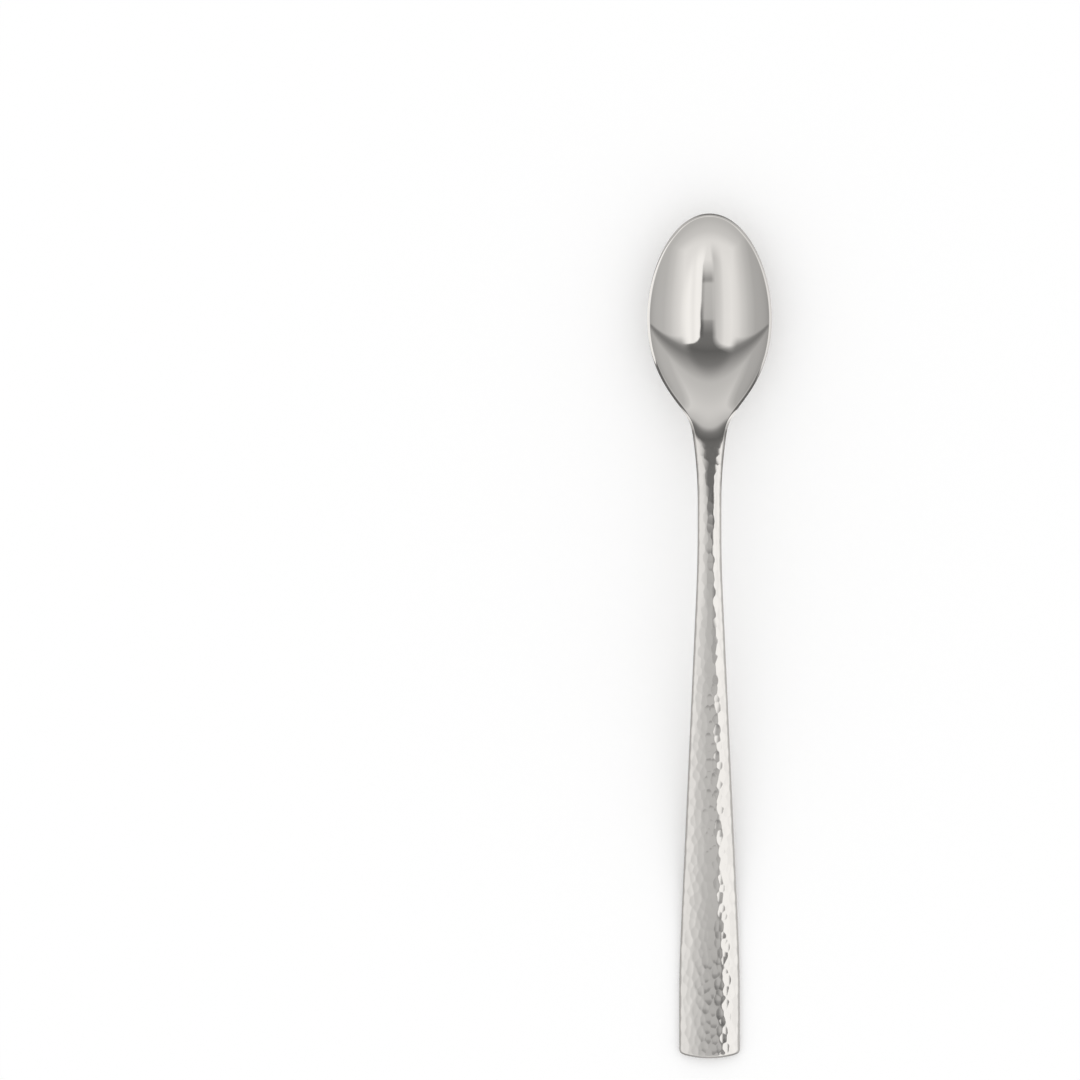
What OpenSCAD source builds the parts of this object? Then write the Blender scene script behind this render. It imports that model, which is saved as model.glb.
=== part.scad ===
// Iced tea spoon in steel: a long tapering handle, an arched neck and an oval bowl.
// It lies bowl up on a table, with the bowl towards +Y and the handle's end towards -Y.
// The origin is on the table, below the middle of the spoon's length.
// The real spoon is one forging, so the three nodes are its regions. They meet face to face
// on flat sections, and share one outline and one set of surfaces.

/* [Whole spoon] */
// Length from the end of the handle to the tip of the bowl
spoon_length = 194; // [178:1:210]
// Height of the side edges above the table where the neck is highest
arch_height = 13; // [11:0.5:17]
// Distance from the widest line of the bowl back to the highest place of the neck
arch_reach = 52; // [44:1:62]
// Reach, in height, of the bends where the handle leaves the table and levels out at the neck
arch_blend = 3.5; // [1:0.5:4.5]
// Width of the bevel on the upper and lower corners of the side edges
edge_bevel = 0.6; // [0.3:0.05:0.7]
// Fall of the bevel for each millimetre across, at its inner side
bevel_start = 0.5; // [0.3:0.05:0.6]
// Fall of the bevel for each millimetre across, at its outer side
bevel_end = 0.85; // [0.6:0.05:0.95]

/* [Bowl] */
// Width over the rim at the widest line
bowl_width = 28.6; // [24:0.2:34]
// Length from the widest line to the tip
bowl_front = 24; // [21:0.5:28]
// Roundness of the front of the rim: 2 gives half an ellipse, and less gives a more pointed tip
bowl_roundness = 1.9; // [1.7:0.05:2.2]
// Length from the widest line back to where the rear curve of the rim would close
bowl_back = 26.5; // [24:0.5:29]
// Length from the widest line back to where the floor of the hollow comes level with the rim
hollow_back = 24; // [21:0.5:26]
// Depth of the hollow below the rim
bowl_depth = 7; // [5:0.1:9]
// Thickness of the steel at the deepest place
bowl_wall = 1.5; // [1.3:0.05:2.2]
// Thickness of the rim
rim_thickness = 1.2; // [1:0.05:1.6]
// Rise of the rim from the widest line to the tip
tip_lift = 0.6; // [0:0.1:2]

/* [Neck] */
// Width of the neck at its narrowest
neck_width = 5.46; // [4.4:0.1:7]
// Length of the neck behind the bowl
neck_length = 35; // [28:1:40]
// Thickness of the neck at its side edges
neck_edge = 2; // [1.6:0.1:2.6]
// Height of the crown on the front of the neck
neck_crown = 0.6; // [0.2:0.1:1]
// Height of the crown on the back of the neck
neck_back_crown = 0.8; // [0.2:0.1:1.2]
// Distance from the widest line of the bowl back to where the neck starts to flare
flare_reach = 42; // [38:1:48]
// Radius of the flare
flare_radius = 100; // [80:5:150]
// Reach of the rounding where the flare meets the rim
shoulder_blend = 4.5; // [2:0.5:5.5]
// Reach, in height, of the bend where the hollow of the bowl runs out into the front of the neck
hollow_blend = 3; // [2:0.5:5]
// Reach, in height, of the bend where the outside of the bowl runs out into the back of the neck
back_blend = 5; // [2:0.5:5]

/* [Handle] */
// Width of the handle at its end
handle_width = 13.9; // [11:0.1:16]
// Length of the straight end before the taper
handle_straight = 21; // [18:1:28]
// Length of the taper from the straight end to the neck
handle_taper = 93; // [84:1:98]
// Reach of the rounding where the taper starts and ends
taper_blend = 0.5; // [0.2:0.1:0.8]
// Thickness of the handle at its side edges, at the end
handle_edge = 1.5; // [1.2:0.1:2]
// Height of the crown on the front of the handle, at the end
handle_crown = 1; // [0.5:0.1:1.4]
// Length of the flat back that lies on the table
rest_length = 15; // [8:1:18]
// Radius of the curved end, seen from above
end_radius = 22; // [14:1:40]
// Reach of the rounding on the two corners of the end
end_corner = 3; // [1:0.5:4]

/* [Facets] */
// Facets across the front and across the back
face_facets = 12; // [8:2:16]
// Facets on each bevel of the side edges
edge_facets = 2; // [1:1:4]
// Sections along the handle
handle_sections = 40; // [24:1:60]
// Sections along the neck
neck_sections = 14; // [10:1:24]
// Sections along the back half of the bowl, and along its front half
bowl_sections = 14; // [10:1:24]

/* [Hidden] */

// Places along the spoon, as distances from the end of the handle
widest_s = spoon_length - bowl_front;
arch_s = widest_s - arch_reach;
flare_s = widest_s - flare_reach;
shoulder_s = widest_s - bowl_back / 2;
bowl_joint_s = widest_s - hollow_back;
handle_joint_s = bowl_joint_s - neck_length;

// The outside of the bowl is deeper than the hollow where the steel is thicker than the rim
back_depth = bowl_depth + bowl_wall - rim_thickness;
// Height of the middle of the side edge at the handle's end and at the rim, so that both lie on the table
end_height = handle_edge / 2;
rim_height = back_depth + rim_thickness / 2;
arch_rise = arch_height - end_height;

// Each tip ends in a very narrow flat, at the width that the outline has this far inside
tip_inset = 0.01;
// Step for reading the slope of the outline
slope_step = 0.005;
// Largest share of the half width that the bevel takes
bevel_of_half = 0.45;

colour_bowl = [0.80, 0.80, 0.79];
colour_neck = [0.76, 0.76, 0.75];
colour_handle = [0.72, 0.72, 0.71];

// Larger or smaller of two values, with the change between them rounded over a reach
function soft_max(a, b, reach) =
    let(h = max(reach - abs(a - b), 0) / reach)
    max(a, b) + pow(h, 3) * reach / 6;
function soft_min(a, b, reach) = -soft_max(-a, -b, reach);

// Smooth step from 0 to 1
function ease(t) =
    let(c = min(max(t, 0), 1))
    pow(c, 3) * (10 + c * (6 * c - 15));

// Rise of the handle from the table to the neck, as a straight climb with a soft bend at each end.
// The section changes with it, and again from the neck to the bowl.
function handle_rise(s) =
    let(line = (arch_rise + 2 * arch_blend) * (s - rest_length) / (arch_s - rest_length) - arch_blend)
    soft_min(arch_rise, soft_max(0, line, arch_blend), arch_blend);
function along_handle(s) = handle_rise(s) / arch_rise;
function along_neck(s) = ease((s - arch_s) / arch_reach);

// Outline of the bowl: nearly half an ellipse in front, and a longer curve behind
function bowl_half(s) =
    let(d = (s - widest_s) / bowl_front, back = (widest_s - s) / bowl_back, reach = bowl_back / bowl_front)
    s > widest_s
        ? bowl_width / 2 * sqrt(max(1 - pow(d, bowl_roundness), 0))
        : bowl_width / 2 * (1 - d * d / 2 - (1 - reach * reach / 2) * pow(back, 3));

// Outline of the handle: straight, then a taper to the width of the neck
function taper_half(s) =
    let(along = (s - handle_straight) / handle_taper)
    (handle_width + (neck_width - handle_width) * along) / 2;
function handle_half(s) =
    soft_max(neck_width / 2, soft_min(handle_width / 2, taper_half(s), taper_blend), taper_blend);
function flare(s) = pow(max(min(s, shoulder_s) - flare_s, 0), 2) / (2 * flare_radius);

// Half width of the whole spoon, first without and then with the curved end of the handle
function side_half(s) =
    s > widest_s
        ? bowl_half(s)
        : soft_max(bowl_half(s), handle_half(s) + flare(s), shoulder_blend);
function end_half(s) = sqrt(max(s * (2 * end_radius - s), 0));
function half(s) = s < end_radius ? soft_min(end_half(s), side_half(s), end_corner) : side_half(s);

// Distance from a point inside the outline to the outline
function outline_slope(s) =
    let(low = max(s - slope_step, 0), high = min(s + slope_step, spoon_length))
    (pow(half(high), 2) - pow(half(low), 2)) / (2 * (high - low));
function inset(x, s) = max(pow(half(s), 2) - x * x, 0) / (2 * norm([outline_slope(s), x]));

// Side edge: its height above the table, and its thickness
function edge_height(s) =
    end_height
    + handle_rise(s)
    - (arch_height - rim_height) * along_neck(s)
    + tip_lift * pow(max((s - widest_s) / bowl_front, 0), 3);
function edge_thickness(s) =
    handle_edge + (neck_edge - handle_edge) * along_handle(s) - (neck_edge - rim_thickness) * along_neck(s);

// Share of the bowl's full depth along its middle: 1 at the widest line, 0 at the tip and at the neck
function hollow_share(s) =
    let(
        d = (s - widest_s) / bowl_front,
        back = max(widest_s - s, 0) / hollow_back,
        reach = hollow_back / bowl_front
    )
    1 - d * d - (1 - reach * reach) * pow(back, 3);

// Height of the middle of a surface over its side edges: crowned on the handle and the neck,
// then bent softly down into the bowl
function middle(s, crown, depth, blend) =
    let(floor_line = -depth * hollow_share(s))
    s > widest_s ? floor_line : soft_min(crown, floor_line, blend);
function front_crown(s) = neck_crown + (handle_crown - neck_crown) * pow(1 - along_handle(s), 2);
function front_middle(s) = middle(s, front_crown(s), bowl_depth, hollow_blend);
function back_middle(s) = middle(s, -neck_back_crown * along_handle(s), back_depth, back_blend);

// Share of a crown's lean that points to the outline: all of it on the sides, none at the handle's end
function sideways(x, s) =
    s < end_radius ? abs(x) / max(norm([outline_slope(s), x]), slope_step) : 1;

// Drop of the bevel below a surface, which needs less of its own where the surface leans that way already
function bevel_drop(x, s, surface_middle) =
    let(
        lean = max(2 * surface_middle / side_half(s), 0) * sideways(x, s),
        start = max(bevel_start - lean * (1 - edge_bevel / side_half(s)), 0),
        end = max(bevel_end - lean, 0),
        out = max(edge_bevel - inset(x, s), 0)
    )
    out * (start + (end - start) * out / (2 * edge_bevel));

// The front and the back, which fall away from the middle to the side edges in a parabola
function across(x, s) = 1 - pow(x / side_half(s), 2);
function front_height(x, s) =
    edge_height(s)
    + edge_thickness(s) / 2
    + front_middle(s) * across(x, s)
    - bevel_drop(x, s, front_middle(s));
function back_height(x, s) =
    edge_height(s)
    - edge_thickness(s) / 2
    + back_middle(s) * across(x, s)
    + bevel_drop(x, s, -back_middle(s));

// Shares of the half width at which a section is sampled, closer together on the bevels
function section_shares(s) =
    let(
        flat = 1 - min(edge_bevel / half(s), bevel_of_half),
        corner = [for (i = [1 : edge_facets]) flat + (1 - flat) * i / edge_facets]
    )
    concat(
        [for (i = [edge_facets - 1 : -1 : 0]) -corner[i]],
        [for (i = [0 : face_facets]) flat * (2 * i / face_facets - 1)],
        corner
    );

// One section: its front points from left to right, then its back points from left to right
function section(place) =
    let(
        s = min(max(place, tip_inset), spoon_length - tip_inset),
        y = place - spoon_length / 2,
        columns = half(s) * section_shares(s)
    )
    concat(
        [for (x = columns) [x, y, front_height(x, s)]],
        [for (x = columns) [x, y, back_height(x, s)]]
    );

// Solid through a list of sections, with a flat cap on the first and the last
module loft(places) {
    last = face_facets + 2 * edge_facets;
    ring = 2 * (last + 1);
    rows = len(places) - 1;
    points = [for (place = places) each section(place)];
    function at(row, side, i) = row * ring + side * (last + 1) + i;
    function quad(a, b, c, d) = [[a, b, c], [a, c, d]];
    faces = [
        for (r = [0 : rows - 1], i = [0 : last - 1])
            each quad(at(r, 0, i), at(r + 1, 0, i), at(r + 1, 0, i + 1), at(r, 0, i + 1)),
        for (r = [0 : rows - 1], i = [0 : last - 1])
            each quad(at(r, 1, i), at(r, 1, i + 1), at(r + 1, 1, i + 1), at(r + 1, 1, i)),
        for (r = [0 : rows - 1])
            each quad(at(r, 0, 0), at(r, 1, 0), at(r + 1, 1, 0), at(r + 1, 0, 0)),
        for (r = [0 : rows - 1])
            each quad(at(r, 0, last), at(r + 1, 0, last), at(r + 1, 1, last), at(r, 1, last)),
        for (i = [0 : last - 1])
            each quad(at(0, 0, i), at(0, 0, i + 1), at(0, 1, i + 1), at(0, 1, i)),
        for (i = [0 : last - 1])
            each quad(at(rows, 0, i), at(rows, 1, i), at(rows, 1, i + 1), at(rows, 0, i + 1))
    ];
    polyhedron(points, faces);
}

// Oval bowl, from the flare of the neck to the tip, with sections drawn together at the tip
module bowl() {
    back_half = [for (i = [0 : bowl_sections]) bowl_joint_s + hollow_back * i / bowl_sections];
    front_half = [for (i = [1 : bowl_sections]) widest_s + bowl_front * sin(90 * i / bowl_sections)];
    color(colour_bowl) loft(concat(back_half, front_half));
}

// Narrow arched neck, which flares out to the bowl
module neck() {
    color(colour_neck)
        loft([for (i = [0 : neck_sections]) handle_joint_s + neck_length * i / neck_sections]);
}

// Long flat handle, with sections drawn together at its curved end
module handle() {
    color(colour_handle)
        loft([for (i = [0 : handle_sections]) handle_joint_s * (1 - cos(90 * i / handle_sections))]);
}

bowl();
neck();
handle();
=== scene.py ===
import bpy
import numpy as np
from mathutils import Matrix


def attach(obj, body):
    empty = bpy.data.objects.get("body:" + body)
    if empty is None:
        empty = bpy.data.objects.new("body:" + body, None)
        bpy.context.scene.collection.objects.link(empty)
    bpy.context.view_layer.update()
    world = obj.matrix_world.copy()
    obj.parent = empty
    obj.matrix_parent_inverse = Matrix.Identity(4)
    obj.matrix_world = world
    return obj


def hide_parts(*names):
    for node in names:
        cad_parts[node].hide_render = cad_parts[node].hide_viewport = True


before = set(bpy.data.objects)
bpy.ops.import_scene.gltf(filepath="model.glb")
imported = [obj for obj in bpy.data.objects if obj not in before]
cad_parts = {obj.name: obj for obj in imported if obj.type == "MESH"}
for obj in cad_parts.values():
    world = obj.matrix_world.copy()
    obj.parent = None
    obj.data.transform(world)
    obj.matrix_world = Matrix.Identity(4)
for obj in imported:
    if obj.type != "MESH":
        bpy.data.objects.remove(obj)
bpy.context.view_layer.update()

# Spoon blank
# The real spoon is one piece of stainless steel, cut from strip, rolled thin towards the bowl and
# pressed between dies. The handle climbs to an arched neck, which flares out into an oval bowl.
# The blank is a stack of closed sections, from the handle's end to the tip of the bowl.
MM = 0.001
SPOON_LENGTH = 194.0
HANDLE_WIDTH = 13.9
HANDLE_STRAIGHT = 21.0
HANDLE_TAPER = 93.0
HANDLE_EDGE = 1.5
HANDLE_CROWN = 1.0
TAPER_BLEND = 0.5
END_RADIUS = 22.0
END_CORNER = 3.0
REST_LENGTH = 15.0
ARCH_HEIGHT = 13.0
ARCH_REACH = 52.0
ARCH_BLEND = 3.5
NECK_WIDTH = 5.46
NECK_LENGTH = 35.0
NECK_EDGE = 2.0
NECK_CROWN = 0.6
NECK_BACK_CROWN = 0.8
FLARE_REACH = 42.0
FLARE_RADIUS = 100.0
SHOULDER_BLEND = 4.5
BOWL_WIDTH = 28.6
BOWL_FRONT = 24.0
BOWL_ROUNDNESS = 1.9
BOWL_BACK = 26.5
HOLLOW_BACK = 24.0
HOLLOW_BLEND = 3.0
BACK_BLEND = 5.0
BOWL_DEPTH = 7.0
BOWL_WALL = 1.5
RIM_THICKNESS = 1.2
TIP_LIFT = 0.6
EDGE_BEVEL = 0.6
# Fall of the bevel for each millimetre, at its inner and at its outer side, and the softness of its start
BEVEL_START = 0.5
BEVEL_END = 0.85
BEVEL_BLEND = 0.03
# The two tips end in a very narrow flat, at the width that the outline has this far inside
TIP_INSET = 0.01
SLOPE_STEP = 0.005

WIDEST_S = SPOON_LENGTH - BOWL_FRONT
ARCH_S = WIDEST_S - ARCH_REACH
FLARE_S = WIDEST_S - FLARE_REACH
SHOULDER_S = WIDEST_S - BOWL_BACK / 2
BOWL_JOINT_S = WIDEST_S - HOLLOW_BACK
HANDLE_JOINT_S = BOWL_JOINT_S - NECK_LENGTH
BACK_DEPTH = BOWL_DEPTH + BOWL_WALL - RIM_THICKNESS
END_HEIGHT = HANDLE_EDGE / 2
RIM_HEIGHT = BACK_DEPTH + RIM_THICKNESS / 2
ARCH_RISE = ARCH_HEIGHT - END_HEIGHT


# Larger or smaller of two values, with the change between them rounded over a reach
def soft_max(a, b, reach):
    near = np.maximum(reach - np.abs(a - b), 0) / reach
    return np.maximum(a, b) + near**3 * reach / 6


def soft_min(a, b, reach):
    return -soft_max(-a, -b, reach)


# Smooth step from 0 to 1
def ease(share):
    t = np.clip(share, 0, 1)
    return t**3 * (10 + t * (6 * t - 15))


# Straight climb of the handle from the table to the neck, with a soft bend at each end
def handle_rise(s):
    along = (s - REST_LENGTH) / (ARCH_S - REST_LENGTH)
    line = (ARCH_RISE + 2 * ARCH_BLEND) * along - ARCH_BLEND
    return soft_min(ARCH_RISE, soft_max(0, line, ARCH_BLEND), ARCH_BLEND)


def along_handle(s):
    return handle_rise(s) / ARCH_RISE


def along_neck(s):
    return ease((s - ARCH_S) / ARCH_REACH)


# Half widths of the bowl, of the handle with the neck and its flare, and of the whole spoon
def bowl_half(s):
    ahead = (s - WIDEST_S) / BOWL_FRONT
    behind = (WIDEST_S - s) / BOWL_BACK
    reach = BOWL_BACK / BOWL_FRONT
    front_curve = np.sqrt(np.maximum(1 - np.abs(ahead) ** BOWL_ROUNDNESS, 0))
    rear_curve = 1 - ahead**2 / 2 - (1 - reach**2 / 2) * behind**3
    return BOWL_WIDTH / 2 * np.where(s > WIDEST_S, front_curve, rear_curve)


def handle_half(s):
    taper = HANDLE_WIDTH + (NECK_WIDTH - HANDLE_WIDTH) * (s - HANDLE_STRAIGHT) / HANDLE_TAPER
    straight = soft_min(HANDLE_WIDTH / 2, taper / 2, TAPER_BLEND)
    flare = np.maximum(np.minimum(s, SHOULDER_S) - FLARE_S, 0) ** 2 / (2 * FLARE_RADIUS)
    return soft_max(NECK_WIDTH / 2, straight, TAPER_BLEND) + flare


def side_half(s):
    behind = soft_max(bowl_half(s), handle_half(s), SHOULDER_BLEND)
    return np.where(s > WIDEST_S, bowl_half(s), behind)


def half_width(s):
    end = np.sqrt(np.maximum(s * (2 * END_RADIUS - s), 0))
    return np.where(s < END_RADIUS, soft_min(end, side_half(s), END_CORNER), side_half(s))


# Distance from a point on a section to the outline of the spoon, from how steeply the width changes
def steepness(x, s):
    low = np.maximum(s - SLOPE_STEP, 0)
    high = np.minimum(s + SLOPE_STEP, SPOON_LENGTH)
    slope = (half_width(high) ** 2 - half_width(low) ** 2) / (2 * (high - low))
    return np.maximum(np.hypot(slope, x), SLOPE_STEP)


def inset(x, s):
    return np.maximum(half_width(s) ** 2 - x**2, 0) / (2 * steepness(x, s))


# Side edge: the height of its middle, and its thickness
def edge_height(s):
    fall = (ARCH_HEIGHT - RIM_HEIGHT) * along_neck(s)
    lift = TIP_LIFT * np.maximum((s - WIDEST_S) / BOWL_FRONT, 0) ** 3
    return END_HEIGHT + handle_rise(s) - fall + lift


def edge_thickness(s):
    neck_gain = (NECK_EDGE - HANDLE_EDGE) * along_handle(s)
    bowl_loss = (NECK_EDGE - RIM_THICKNESS) * along_neck(s)
    return HANDLE_EDGE + neck_gain - bowl_loss


# Middle of a face over its side edges: crowned on the handle and the neck, then bent down into the bowl
def middle(s, crown, depth, blend):
    ahead = (s - WIDEST_S) / BOWL_FRONT
    behind = np.maximum(WIDEST_S - s, 0) / HOLLOW_BACK
    reach = HOLLOW_BACK / BOWL_FRONT
    floor_line = -depth * (1 - ahead**2 - (1 - reach**2) * behind**3)
    return np.where(s > WIDEST_S, floor_line, soft_min(crown, floor_line, blend))


def across(x, s):
    return 1 - (x / side_half(s)) ** 2


# Share of a crown's lean that points to the outline: all of it on the sides, none at the handle's end
def sideways(x, s):
    return np.where(s < END_RADIUS, np.abs(x) / steepness(x, s), 1)


# Drop of the bevel below a face, which needs less of its own where the face leans that way already
def bevel_drop(x, s, face_middle):
    lean = np.maximum(2 * face_middle / side_half(s), 0) * sideways(x, s)
    start = np.maximum(BEVEL_START - lean * (1 - EDGE_BEVEL / side_half(s)), 0)
    end = np.maximum(BEVEL_END - lean, 0)
    out = EDGE_BEVEL - inset(x, s)
    curve = (end - start) / (2 * EDGE_BEVEL)
    return soft_max(0, start * out + curve * np.maximum(out, 0) ** 2, BEVEL_BLEND)


def front_middle(s):
    crown = NECK_CROWN + (HANDLE_CROWN - NECK_CROWN) * (1 - along_handle(s)) ** 2
    return middle(s, crown, BOWL_DEPTH, HOLLOW_BLEND)


def back_middle(s):
    return middle(s, -NECK_BACK_CROWN * along_handle(s), BACK_DEPTH, BACK_BLEND)


def front_height(x, s):
    rise = front_middle(s) * across(x, s) - bevel_drop(x, s, front_middle(s))
    return edge_height(s) + edge_thickness(s) / 2 + rise


def back_height(x, s):
    rise = back_middle(s) * across(x, s) + bevel_drop(x, s, -back_middle(s))
    return edge_height(s) - edge_thickness(s) / 2 + rise


# Places of the sections: close together where the front is hammered, and closest at the two ends
MARKED_SPACING = 0.17
BOWL_SPACING = 0.3
END_ROUND = 1.3
END_SECTIONS = 12
TIP_ROUND = 3.6
TIP_SECTIONS = 18


def evenly(start, end, spacing):
    return np.linspace(start, end, round((end - start) / spacing) + 1)


def drawn_together(reach, count):
    return reach * (1 - np.cos(np.linspace(0, np.pi / 2, count + 1)[:-1]))


tip_s = SPOON_LENGTH - TIP_ROUND
places = np.unique(
    np.concatenate(
        [
            drawn_together(END_ROUND, END_SECTIONS),
            evenly(END_ROUND, HANDLE_JOINT_S, MARKED_SPACING),
            evenly(HANDLE_JOINT_S, BOWL_JOINT_S, MARKED_SPACING),
            evenly(BOWL_JOINT_S, tip_s, BOWL_SPACING),
            SPOON_LENGTH - drawn_together(TIP_ROUND, TIP_SECTIONS),
        ]
    )
)

# Columns of each section: even across the face, then at these distances from the outline on its bevel.
# Near the two tips, where the spoon is narrow, the bevel's columns keep to a share of the half width.
FRONT_COLUMNS = 76
BACK_COLUMNS = 20
BEVEL_COLUMNS = EDGE_BEVEL * np.array([1.2, 1.1, 1.0, 0.9, 0.8, 0.65, 0.45, 0.1, 0.0])
BEVEL_SHARE = 0.45


def columns(s, count):
    reach = np.minimum(BEVEL_COLUMNS[0] / half_width(s), BEVEL_SHARE)
    corner = 1 - reach * BEVEL_COLUMNS / BEVEL_COLUMNS[0]
    face = corner[:, :1] * np.linspace(-1, 1, count + 1)[1:-1]
    return half_width(s) * np.concatenate([-corner[:, ::-1], face, corner], axis=1)


s_inside = np.clip(places, TIP_INSET, SPOON_LENGTH - TIP_INSET)[:, None]
front_x = columns(s_inside, FRONT_COLUMNS)
back_x = columns(s_inside, BACK_COLUMNS)[:, ::-1]
section_x = np.concatenate([front_x, back_x], axis=1)
section_y = np.repeat(places[:, None] - SPOON_LENGTH / 2, section_x.shape[1], axis=1)
section_z = np.concatenate([front_height(front_x, s_inside), back_height(back_x, s_inside)], axis=1)
blank_points = np.stack([section_x, section_y, section_z], axis=2) * MM
FRONT_POINTS = front_x.shape[1]
SECTION_POINTS = section_x.shape[1]


# Triangles that close one section, between its front and its back, from the left edge to the right one
def cap(section):
    front = 0
    back = SECTION_POINTS - 1
    triangles = []
    for point in np.argsort(section_x[section], kind="stable").tolist():
        if point in (front, back):
            continue
        triangles.append([front, point, back])
        if point < FRONT_POINTS:
            front = point
        else:
            back = point
    return triangles


# Faces round the blank from one section to another, with a flat cap on the first and the last
def skin(first, last):
    start = np.arange(last - first)[:, None] * SECTION_POINTS
    here = np.arange(SECTION_POINTS)[None, :]
    after = (here + 1) % SECTION_POINTS
    sides = np.stack(
        [start + here, start + after, start + SECTION_POINTS + after, start + SECTION_POINTS + here],
        axis=2,
    )
    last_start = (last - first) * SECTION_POINTS
    first_cap = [[c, b, a] for a, b, c in cap(first)]
    last_cap = [[last_start + point for point in triangle] for triangle in cap(last)]
    return sides.reshape(-1, 4).tolist() + first_cap + last_cap


blank_mesh = bpy.data.meshes.new("spoon blank")
blank_mesh.from_pydata(blank_points.reshape(-1, 3).tolist(), [], skin(0, len(places) - 1))
blank_mesh.shade_smooth()

# The blank is smooth all round, but for the sharp corners along its outline and at its two ends
outline_columns = [0, FRONT_POINTS - 1, FRONT_POINTS, SECTION_POINTS - 1]
edge_points = np.empty(len(blank_mesh.edges) * 2, dtype=int)
blank_mesh.edges.foreach_get("vertices", edge_points)
edge_rows, edge_columns = np.divmod(edge_points.reshape(-1, 2), SECTION_POINTS)
is_along = (edge_columns[:, 0] == edge_columns[:, 1]) & np.isin(edge_columns[:, 0], outline_columns)
is_at_tip = (edge_rows[:, 0] == edge_rows[:, 1]) & np.isin(edge_rows[:, 0], [0, len(places) - 1])
sharp = blank_mesh.attributes.new("sharp_edge", "BOOLEAN", "EDGE")
sharp.data.foreach_set("value", is_along | is_at_tip)
blank = bpy.data.objects.new("spoon blank", blank_mesh)
bpy.context.collection.objects.link(blank)

# Hammer marks
# The front of the handle and the neck is struck all over with a small rounded punch, in staggered rows.
# Each blow leaves a shallow dish, longer than it is wide, that meets its neighbours in sharp ridges.
# The blows get lighter on the neck and fade out at its flare. The sides and the back stay smooth.
MARK_WIDTH = 1.45 * MM
MARK_LENGTH = 2.9 * MM
MARK_DEPTH = 0.029 * MM
MARK_REACH = 0.93
MARK_SCATTER = 0.16
MARK_TILT = 0.32
DEPTH_SCATTER = 0.3
MARK_SEED = 7
# Marks near the outline are struck deeper, in a band of this width
EDGE_GAIN = 1.0
EDGE_BAND = 1.2
# Places where the blows get lighter, by this share, and where they fade out
NECK_LIGHTNESS = 0.25
LIGHTER_START = 70.0
LIGHTER_END = 112.0
FADE_START = 133.0
FADE_END = 146.0

# How far each point of the blank takes the marks, and how far its bevel already drops
fade = 1 - ease((s_inside - FADE_START) / (FADE_END - FADE_START))
fade *= 1 - NECK_LIGHTNESS * ease((s_inside - LIGHTER_START) / (LIGHTER_END - LIGHTER_START))
edge_share = 1 + EDGE_GAIN * (1 - ease(inset(front_x, s_inside) / EDGE_BAND))
mark_share = np.concatenate([fade * edge_share, np.zeros_like(back_x)], axis=1)
front_drop = bevel_drop(front_x, s_inside, front_middle(s_inside)) * MM
edge_drop = np.concatenate([front_drop, np.zeros_like(back_x)], axis=1)
for name, values in (("mark_share", mark_share), ("edge_drop", edge_drop)):
    attribute = blank_mesh.attributes.new(name, "FLOAT", "POINT")
    attribute.data.foreach_set("value", values.ravel())


# Adds a node with its settings, and joins or sets the inputs that are given
def add_node(tree, kind, inputs, **settings):
    node = tree.nodes.new(kind)
    for name, value in settings.items():
        setattr(node, name, value)
    for name, value in inputs.items():
        if isinstance(value, bpy.types.NodeSocket):
            tree.links.new(value, node.inputs[name])
        else:
            node.inputs[name].default_value = value
    return node


def add_math(tree, operation, first, second):
    return add_node(tree, "ShaderNodeMath", {0: first, 1: second}, operation=operation).outputs[0]


def add_vector_math(tree, operation, first, second):
    return add_node(tree, "ShaderNodeVectorMath", {0: first, 1: second}, operation=operation).outputs[0]


def add_sockets(tree, direction, sockets):
    return {
        name: tree.interface.new_socket(name, in_out=direction, socket_type=kind).identifier
        for name, kind in sockets
    }


marks = bpy.data.node_groups.new("hammer marks", "GeometryNodeTree")
mark_inputs = add_sockets(
    marks,
    "INPUT",
    [
        ("Blank", "NodeSocketGeometry"),
        ("Mark Width", "NodeSocketFloat"),
        ("Mark Length", "NodeSocketFloat"),
        ("Mark Depth", "NodeSocketFloat"),
        ("Mark Reach", "NodeSocketFloat"),
        ("Mark Scatter", "NodeSocketFloat"),
        ("Mark Tilt", "NodeSocketFloat"),
        ("Depth Scatter", "NodeSocketFloat"),
        ("First Row", "NodeSocketFloat"),
        ("Rows", "NodeSocketInt"),
        ("Columns", "NodeSocketInt"),
        ("Seed", "NodeSocketInt"),
        ("Steel", "NodeSocketMaterial"),
    ],
)
add_sockets(marks, "OUTPUT", [("Hammered", "NodeSocketGeometry")])
given = marks.nodes.new("NodeGroupInput").outputs

# Rows of hexagons stand at three quarters of a hexagon's length, which is its width times 2 / sqrt(3).
# The marks are laid out as even hexagons, so lengths along the spoon are divided by the stretch.
ROW_OF_LENGTH = 0.75
HEXAGON_LENGTH = 2 / 3**0.5
even_length = add_math(marks, "MULTIPLY", given["Mark Width"], HEXAGON_LENGTH)
stretch = add_math(marks, "DIVIDE", given["Mark Length"], even_length)
row_step = add_math(marks, "MULTIPLY", even_length, ROW_OF_LENGTH)

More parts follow.
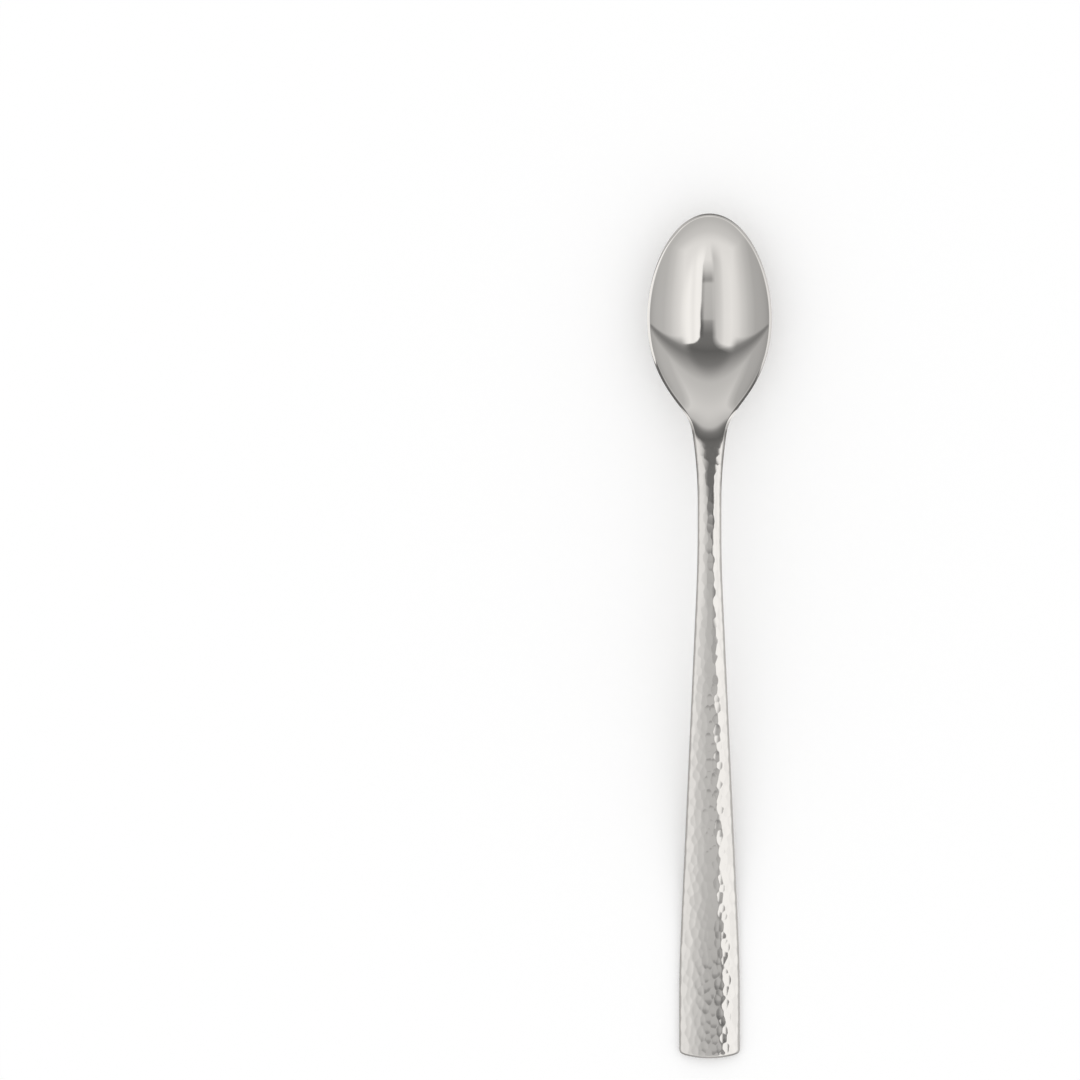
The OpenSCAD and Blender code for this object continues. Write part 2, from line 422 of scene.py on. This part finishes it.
# One point for each blow, with every other row shifted by half a mark
ROW_CYCLE = 2.0
ROW_SHIFT = 0.5
index = marks.nodes.new("GeometryNodeInputIndex").outputs[0]
row = add_math(marks, "FLOOR", add_math(marks, "DIVIDE", index, given["Columns"]), 0.0)
column = add_math(marks, "MODULO", index, given["Columns"])
shift = add_math(marks, "MULTIPLY", add_math(marks, "MODULO", row, ROW_CYCLE), ROW_SHIFT)
middle_column = add_math(marks, "DIVIDE", given["Columns"], 2.0)
from_middle = add_math(marks, "SUBTRACT", add_math(marks, "ADD", column, shift), middle_column)
even_place = add_node(
    marks,
    "ShaderNodeCombineXYZ",
    {
        "X": add_math(marks, "MULTIPLY", from_middle, given["Mark Width"]),
        "Y": add_math(marks, "MULTIPLY", row, row_step),
    },
).outputs[0]


# A random vector for each blow, up to a share of the mark's width either way, and upwards
def random_vector(side_share, upward_share, seed):
    side = add_math(marks, "MULTIPLY", side_share, given["Mark Width"])
    upward = add_math(marks, "MULTIPLY", upward_share, given["Mark Width"])
    largest = add_node(marks, "ShaderNodeCombineXYZ", {"X": side, "Y": side, "Z": upward}).outputs[0]
    return add_node(
        marks,
        "FunctionNodeRandomValue",
        {0: add_vector_math(marks, "MULTIPLY", largest, (-1.0, -1.0, 0.0)), 1: largest, "Seed": seed},
        data_type="FLOAT_VECTOR",
    ).outputs[0]


# Each blow has a little scatter, and one that comes down at a tilt leaves its deepest point to one side.
# Its point is shifted by as much, and lifted less the further it is shifted, so that its dish keeps its
# place in the row.
scatter = random_vector(given["Mark Scatter"], 0.0, given["Seed"])
scattered = add_vector_math(marks, "ADD", even_place, scatter)
tilt_seed = add_math(marks, "ADD", given["Seed"], 1.0)
tilt = random_vector(given["Mark Tilt"], given["Depth Scatter"], tilt_seed)
tilt_parts = add_node(marks, "ShaderNodeSeparateXYZ", {0: tilt}).outputs
tilt_squares = add_vector_math(marks, "MULTIPLY", tilt, tilt)
square_parts = add_node(marks, "ShaderNodeSeparateXYZ", {0: tilt_squares}).outputs
side_square = add_math(marks, "ADD", square_parts["X"], square_parts["Y"])
largest_tilt = add_math(marks, "MULTIPLY", given["Mark Tilt"], given["Mark Width"])
level_square = add_math(marks, "MULTIPLY", add_math(marks, "POWER", largest_tilt, 2.0), 2.0)
left_square = add_math(marks, "SUBTRACT", level_square, side_square)
lift_square = add_math(marks, "ADD", left_square, square_parts["Z"])
shift_place = add_node(
    marks,
    "ShaderNodeCombineXYZ",
    {"X": tilt_parts["X"], "Y": tilt_parts["Y"], "Z": add_math(marks, "SQRT", lift_square, 0.0)},
).outputs[0]
blows = add_node(
    marks,
    "GeometryNodePoints",
    {
        "Count": add_math(marks, "MULTIPLY", given["Rows"], given["Columns"]),
        "Position": add_vector_math(marks, "ADD", scattered, shift_place),
    },
).outputs[0]

# Each point of the blank looks for its nearest blow, which gives it the depth of a round dish there
position = marks.nodes.new("GeometryNodeInputPosition").outputs[0]
spot = add_node(marks, "ShaderNodeSeparateXYZ", {0: position}).outputs
along = add_math(marks, "DIVIDE", add_math(marks, "SUBTRACT", spot["Y"], given["First Row"]), stretch)
even_spot = add_node(marks, "ShaderNodeCombineXYZ", {"X": spot["X"], "Y": along}).outputs[0]
nearest = add_node(
    marks, "GeometryNodeSampleNearest", {"Geometry": blows, "Sample Position": even_spot}
).outputs[0]
blow = add_node(
    marks,
    "GeometryNodeSampleIndex",
    {"Geometry": blows, "Value": position, "Index": nearest},
    data_type="FLOAT_VECTOR",
).outputs[0]
distance = add_node(
    marks, "ShaderNodeVectorMath", {0: even_spot, 1: blow}, operation="DISTANCE"
).outputs["Value"]
out_square = add_math(marks, "SUBTRACT", add_math(marks, "POWER", distance, 2.0), level_square)
reach = add_math(marks, "MULTIPLY", given["Mark Reach"], add_math(marks, "DIVIDE", even_length, 2.0))
reach_square = add_math(marks, "POWER", reach, 2.0)
out_share = add_math(marks, "DIVIDE", out_square, reach_square)
dish = add_math(marks, "MULTIPLY", given["Mark Depth"], add_math(marks, "SUBTRACT", 1.0, out_share))


def blank_value(name):
    return add_node(
        marks, "GeometryNodeInputNamedAttribute", {"Name": name}, data_type="FLOAT"
    ).outputs["Attribute"]


# A dish shows only where it goes deeper than the bevel, so the edge of the front turns wavy
shown_dish = add_math(marks, "MULTIPLY", dish, blank_value("mark_share"))
over_bevel = add_math(marks, "SUBTRACT", shown_dish, blank_value("edge_drop"))
dent = add_math(marks, "MAXIMUM", over_bevel, 0.0)
down = add_node(
    marks, "ShaderNodeCombineXYZ", {"Z": add_math(marks, "MULTIPLY", dent, -1.0)}
).outputs[0]
dented = add_node(
    marks, "GeometryNodeSetPosition", {"Geometry": given["Blank"], "Offset": down}
).outputs[0]
realized = add_node(marks, "GeometryNodeRealizeInstances", {"Geometry": dented}).outputs[0]
finished = add_node(
    marks, "GeometryNodeSetMaterial", {"Geometry": realized, "Material": given["Steel"]}
).outputs[0]
add_node(marks, "NodeGroupOutput", {"Hammered": finished})

# Polished stainless steel: bright and slightly warm, a little duller in some places than in others
STEEL_BRIGHT = (0.83, 0.805, 0.773, 1.0)
STEEL_DULL = (0.78, 0.755, 0.723, 1.0)
HAZE_DETAIL = 4.0
LINE_STRETCH = (1.0, 0.05, 1.0)
LINE_DEPTH = 0.002 * MM

# Faint haze and fine lines that polishing leaves along the spoon
polish = bpy.data.node_groups.new("polishing marks", "ShaderNodeTree")
add_sockets(
    polish,
    "INPUT",
    [
        ("Place", "NodeSocketVector"),
        ("Bright Steel", "NodeSocketColor"),
        ("Dull Steel", "NodeSocketColor"),
        ("Haze Scale", "NodeSocketFloat"),
        ("Line Scale", "NodeSocketFloat"),
        ("Clear Roughness", "NodeSocketFloat"),
        ("Hazy Roughness", "NodeSocketFloat"),
    ],
)
add_sockets(
    polish,
    "OUTPUT",
    [("Color", "NodeSocketColor"), ("Roughness", "NodeSocketFloat"), ("Lines", "NodeSocketFloat")],
)
polished = polish.nodes.new("NodeGroupInput").outputs
haze = add_node(
    polish,
    "ShaderNodeTexNoise",
    {"Vector": polished["Place"], "Scale": polished["Haze Scale"], "Detail": HAZE_DETAIL},
).outputs[0]
line_place = add_vector_math(polish, "MULTIPLY", polished["Place"], LINE_STRETCH)
lines = add_node(
    polish, "ShaderNodeTexNoise", {"Vector": line_place, "Scale": polished["Line Scale"]}
).outputs[0]

# The Mix node has sockets for every kind of value, so its colours are chosen by number
COLOUR_A = 6
COLOUR_B = 7
COLOUR_RESULT = 2


def mix_colours(tree, share, first, second, blend="MIX"):
    inputs = {0: share, COLOUR_A: first, COLOUR_B: second}
    mix = add_node(tree, "ShaderNodeMix", inputs, data_type="RGBA", blend_type=blend)
    return mix.outputs[COLOUR_RESULT]


tint = mix_colours(polish, haze, polished["Bright Steel"], polished["Dull Steel"])
roughness = add_node(
    polish,
    "ShaderNodeMapRange",
    {"Value": haze, "To Min": polished["Clear Roughness"], "To Max": polished["Hazy Roughness"]},
).outputs[0]
add_node(polish, "NodeGroupOutput", {"Color": tint, "Roughness": roughness, "Lines": lines})


def steel(name, haze_scale, line_scale, clear_roughness, hazy_roughness, line_strength):
    material = bpy.data.materials.new(name)
    material.use_nodes = True
    tree = material.node_tree
    tree.nodes.clear()
    place = tree.nodes.new("ShaderNodeTexCoord").outputs["Object"]
    finish = add_node(
        tree,
        "ShaderNodeGroup",
        {
            "Place": place,
            "Bright Steel": STEEL_BRIGHT,
            "Dull Steel": STEEL_DULL,
            "Haze Scale": haze_scale,
            "Line Scale": line_scale,
            "Clear Roughness": clear_roughness,
            "Hazy Roughness": hazy_roughness,
        },
        node_tree=polish,
    ).outputs
    line_normal = add_node(
        tree,
        "ShaderNodeBump",
        {"Height": finish["Lines"], "Strength": line_strength, "Distance": LINE_DEPTH},
    ).outputs[0]
    surface = add_node(
        tree,
        "ShaderNodeBsdfPrincipled",
        {
            "Base Color": finish["Color"],
            "Roughness": finish["Roughness"],
            "Normal": line_normal,
            "Metallic": 1.0,
        },
    ).outputs[0]
    add_node(tree, "ShaderNodeOutputMaterial", {"Surface": surface})
    return material


hammered_steel = steel(
    "hammered steel",
    haze_scale=90.0,
    line_scale=2600.0,
    clear_roughness=0.05,
    hazy_roughness=0.09,
    line_strength=0.2,
)

# The struck blank becomes a plain mesh, from which the three pieces are then cut
SPARE_ROWS = 2
SPARE_COLUMNS = 4
mark_rows = round(FADE_END * MM / (ROW_OF_LENGTH * MARK_LENGTH)) + SPARE_ROWS
mark_columns = round(HANDLE_WIDTH * MM / MARK_WIDTH) + SPARE_COLUMNS
punch = blank.modifiers.new("hammer marks", "NODES")
punch.node_group = marks
for name, value in (
    ("Mark Width", MARK_WIDTH),
    ("Mark Length", MARK_LENGTH),
    ("Mark Depth", MARK_DEPTH),
    ("Mark Reach", MARK_REACH),
    ("Mark Scatter", MARK_SCATTER),
    ("Mark Tilt", MARK_TILT),
    ("Depth Scatter", DEPTH_SCATTER),
    ("First Row", -SPOON_LENGTH * MM / 2),
    ("Rows", mark_rows),
    ("Columns", mark_columns),
    ("Seed", MARK_SEED),
    ("Steel", hammered_steel),
):
    punch[mark_inputs[name]] = value
depsgraph = bpy.context.evaluated_depsgraph_get()
struck = bpy.data.meshes.new_from_object(blank.evaluated_get(depsgraph))
struck_points = np.empty(len(struck.vertices) * 3)
struck.vertices.foreach_get("co", struck_points)
struck_points = struck_points.reshape(len(places), SECTION_POINTS, 3)
bpy.data.objects.remove(blank)

# Normals at the corners of its side faces, row by row. The caps come after them, and are left out.
FACE_CORNERS = 4
ROW_CORNERS = SECTION_POINTS * FACE_CORNERS
ROW_COUNT = len(places) - 1
struck_normals = np.empty(len(struck.loops) * 3)
struck.corner_normals.foreach_get("vector", struck_normals)
side_normals = struck_normals.reshape(-1, 3)[: ROW_COUNT * ROW_CORNERS]
side_normals = side_normals.reshape(ROW_COUNT, ROW_CORNERS, 3)
TOWARD_HANDLE_END = [0.0, -1.0, 0.0]


# Cuts the length between two sections out of the struck blank, and closes it with flat caps.
# It keeps the blank's own normals, so that polished steel runs on over the cuts without a line.
def cut_piece(name, start_s, end_s, material):
    first, last = np.searchsorted(places, [start_s, end_s])
    points = struck_points[first : last + 1]
    mesh = bpy.data.meshes.new(name)
    mesh.from_pydata(points.reshape(-1, 3).tolist(), [], skin(first, last))
    mesh.shade_smooth()
    cap_corners = (len(mesh.loops) - (last - first) * ROW_CORNERS) // 2
    first_cap = np.tile(TOWARD_HANDLE_END, (cap_corners, 1))
    corner_normals = np.concatenate([side_normals[first:last].reshape(-1, 3), first_cap, -first_cap])
    mesh.normals_split_custom_set(corner_normals.tolist())
    mesh.materials.append(material)
    piece = bpy.data.objects.new(name, mesh)
    bpy.context.collection.objects.link(piece)
    return piece


# Handle
# The long end of the forging, held in the hand: crowned and hammered on the front, with bevelled edges
# and a gently curved end. Its back is flat at the end, where it lies on the table.
handle = cut_piece("hammered_handle", 0, HANDLE_JOINT_S, hammered_steel)
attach(handle, "root")
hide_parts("handle")

# Neck
# The narrow, thick arch of the forging between the handle and the bowl, crowned on both faces, with the
# last of the hammer marks. It flares out smoothly towards the bowl.
neck = cut_piece("arched_neck", HANDLE_JOINT_S, BOWL_JOINT_S, hammered_steel)
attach(neck, "root")
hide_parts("neck")

# Bowl
# The thin oval end of the forging, pressed hollow and polished to a mirror inside and out.
# Its bevelled rim runs on from the flare of the neck and lifts a little towards the tip.
polished_steel = steel(
    "polished steel",
    haze_scale=60.0,
    line_scale=2200.0,
    clear_roughness=0.04,
    hazy_roughness=0.07,
    line_strength=0.15,
)
bowl = cut_piece("polished_bowl", BOWL_JOINT_S, SPOON_LENGTH, polished_steel)
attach(bowl, "root")
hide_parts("bowl")

# Floor
# A plain white table top, large enough to fill every view, with its top face at the spoon's rest plane.
FLOOR_SIZE = 6.0
FLOOR_COLOUR = (1.0, 1.0, 1.0, 1.0)
FLOOR_ROUGHNESS = 0.9
FLOOR_GLOSS = 0.0
corner = FLOOR_SIZE / 2
floor_mesh = bpy.data.meshes.new("white table")
floor_mesh.from_pydata(
    [(-corner, -corner, 0), (corner, -corner, 0), (corner, corner, 0), (-corner, corner, 0)],
    [],
    [(0, 1, 2, 3)],
)
white_table = bpy.data.materials.new("white table")
white_table.use_nodes = True
table_surface = white_table.node_tree.nodes["Principled BSDF"].inputs
table_surface["Base Color"].default_value = FLOOR_COLOUR
table_surface["Roughness"].default_value = FLOOR_ROUGHNESS
table_surface["Specular IOR Level"].default_value = FLOOR_GLOSS
floor_mesh.materials.append(white_table)
floor = bpy.data.objects.new("white table", floor_mesh)
bpy.context.collection.objects.link(floor)

# Studio light
# A white room with even light. Polished steel mirrors the room, so it shows the studio in more detail:
# a bright panel on the right and a softer one on the left, with a grey gap between them overhead.
# Places on this ceiling are given at a height of 1: across the spoon, and along it towards the bowl.
LOWEST_RISE = 0.05
# Light of the two panels, by the place across
PANELS = [
    (-1.2, 0.8),
    (-0.8, 0.95),
    (-0.5, 0.9),
    (-0.37, 0.76),
    (-0.27, 0.69),
    (-0.16, 0.64),
    (0.25, 1.08),
    (0.42, 1.1),
    (0.56, 1.0),
    (0.72, 1.1),
    (1.2, 1.0),
]
# Light of the gap between them, by the place along: dark beyond the bowl
GAP = [
    (-0.8, 0.9),
    (-0.62, 0.68),
    (-0.48, 0.36),
    (-0.445, 0.42),
    (-0.425, 0.6),
    (-0.12, 0.56),
    (0.01, 0.53),
    (0.035, 0.37),
    (0.08, 0.3),
    (0.2, 0.19),
    (0.35, 0.18),
    (0.5, 0.135),
    (0.65, 0.175),
    (0.8, 0.22),
    (1.2, 0.45),
]
# Width of the gap, by the place along: it opens out beyond the bowl
GAP_OPENING = [
    (-1.2, 0.05),
    (-0.7, 0.9),
    (-0.2, 1.0),
    (-0.06, 1.12),
    (0.1, 1.1),
    (0.2, 1.2),
    (0.26, 1.2),
    (0.325, 1.5),
    (0.375, 2.0),
    (0.45, 3.6),
    (0.6, 10.0),
    (1.0, 40.0),
]
# Share of the panels' light, by the place across the gap
BESIDE_GAP = [
    (-0.2, 1.0),
    (-0.07, 0.0),
    (0.245, 0.0),
    (0.28, 1.0),
]
# Darker strip along the right panel, by the place across the gap, and its strength, by the place along
PANEL_EDGE = [
    (0.14, 1.0),
    (0.21, 0.5),
    (0.245, 0.4),
]
EDGE_STRENGTH = [
    (-0.7, 0.0),
    (-0.5, 0.42),
    (-0.2, 0.42),
    (-0.06, 0.9),
    (0.12, 1.0),
    (0.3, 0.0),
]
# Light low down in the room, by the place along and by the place across: the darker of the two shows
LOW_ROOM = [
    (-8.0, 0.34),
    (-3.6, 0.46),
    (-2.0, 0.58),
    (-1.5, 0.7),
    (-1.2, 0.88),
    (-0.4, 0.95),
    (0.3, 0.9),
    (0.52, 0.26),
    (0.65, 0.22),
    (0.85, 0.34),
    (1.3, 0.6),
    (3.0, 0.78),
]
LOW_SIDES = [
    (-18.0, 0.32),
    (-6.0, 0.46),
    (-3.0, 0.49),
    (-2.0, 0.6),
    (-1.4, 0.74),
    (-1.0, 0.9),
    (-0.85, 0.95),
    (0.95, 0.95),
    (1.35, 0.82),
    (2.0, 0.66),
    (3.0, 0.56),
    (6.0, 0.53),
    (18.0, 0.36),
]
# Upward share of a direction at which the ceiling starts to give way to the low room, and ends
LOW_START = 0.78
LOW_END = 0.62
WHITE_LIGHT = (1.0, 1.0, 1.0, 1.0)
studio = bpy.data.worlds.new("studio")
bpy.context.scene.world = studio
studio.use_nodes = True
studio.cycles.sampling_method = "NONE"
room = studio.node_tree
room.nodes.clear()
direction = room.nodes.new("ShaderNodeTexCoord").outputs["Generated"]
toward = add_node(room, "ShaderNodeSeparateXYZ", {0: direction}).outputs
rise = add_math(room, "MAXIMUM", toward["Z"], LOWEST_RISE)
ceiling_across = add_math(room, "DIVIDE", toward["X"], rise)
ceiling_along = add_math(room, "DIVIDE", toward["Y"], rise)


# Level at a place on the ceiling, through a list of stops
def level(place, stops):
    first = stops[0][0]
    last = stops[-1][0]
    share = add_node(
        room, "ShaderNodeMapRange", {"Value": place, "From Min": first, "From Max": last}
    ).outputs[0]
    ramp = add_node(room, "ShaderNodeValToRGB", {0: share})
    elements = ramp.color_ramp.elements
    while len(elements) < len(stops):
        elements.new(1.0)
    for element, (stop, value) in zip(elements, stops):
        element.position = (stop - first) / (last - first)
        element.color = (value, value, value, 1.0)
    return ramp.outputs[0]


gap_place = add_math(room, "DIVIDE", ceiling_across, level(ceiling_along, GAP_OPENING))
gap_light = mix_colours(
    room,
    level(ceiling_along, EDGE_STRENGTH),
    level(ceiling_along, GAP),
    level(gap_place, PANEL_EDGE),
    blend="MULTIPLY",
)
panel_light = level(ceiling_across, PANELS)
overhead = mix_colours(room, level(gap_place, BESIDE_GAP), gap_light, panel_light)
end_light = level(ceiling_along, LOW_ROOM)
side_light = level(ceiling_across, LOW_SIDES)
low_light = mix_colours(room, 1.0, end_light, side_light, blend="DARKEN")
low_share = add_node(
    room,
    "ShaderNodeMapRange",
    {"Value": toward["Z"], "From Min": LOW_START, "From Max": LOW_END},
    interpolation_type="SMOOTHSTEP",
).outputs[0]
all_round = mix_colours(room, low_share, overhead, low_light)
even_light = add_node(room, "ShaderNodeBackground", {"Color": WHITE_LIGHT}).outputs[0]
mirrored = add_node(room, "ShaderNodeBackground", {"Color": all_round}).outputs[0]
glossy = room.nodes.new("ShaderNodeLightPath").outputs["Is Glossy Ray"]
seen = add_node(room, "ShaderNodeMixShader", {0: glossy, 1: even_light, 2: mirrored}).outputs[0]
add_node(room, "ShaderNodeOutputWorld", {"Surface": seen})

# Camera
# Straight above the table, with the bowl at the top of the picture. It stands beside the spoon, so that
# the spoon lies right of the middle, where the photo's full-length outline is.
PIXEL = 0.22964 * MM
PICTURE_PIXELS = 1080
SPOON_PIXEL_X = 709.5
SPOON_PIXEL_Y = 635.9
CAMERA_HEIGHT = 0.6
camera = bpy.data.cameras.new("camera")
camera.type = "ORTHO"
camera.ortho_scale = PICTURE_PIXELS * PIXEL
camera_object = bpy.data.objects.new("camera", camera)
camera_object.location = (
    (PICTURE_PIXELS / 2 - SPOON_PIXEL_X) * PIXEL,
    (SPOON_PIXEL_Y - PICTURE_PIXELS / 2) * PIXEL,
    CAMERA_HEIGHT,
)
bpy.context.collection.objects.link(camera_object)
bpy.context.scene.camera = camera_object
bpy.context.scene.view_settings.view_transform = "Standard"
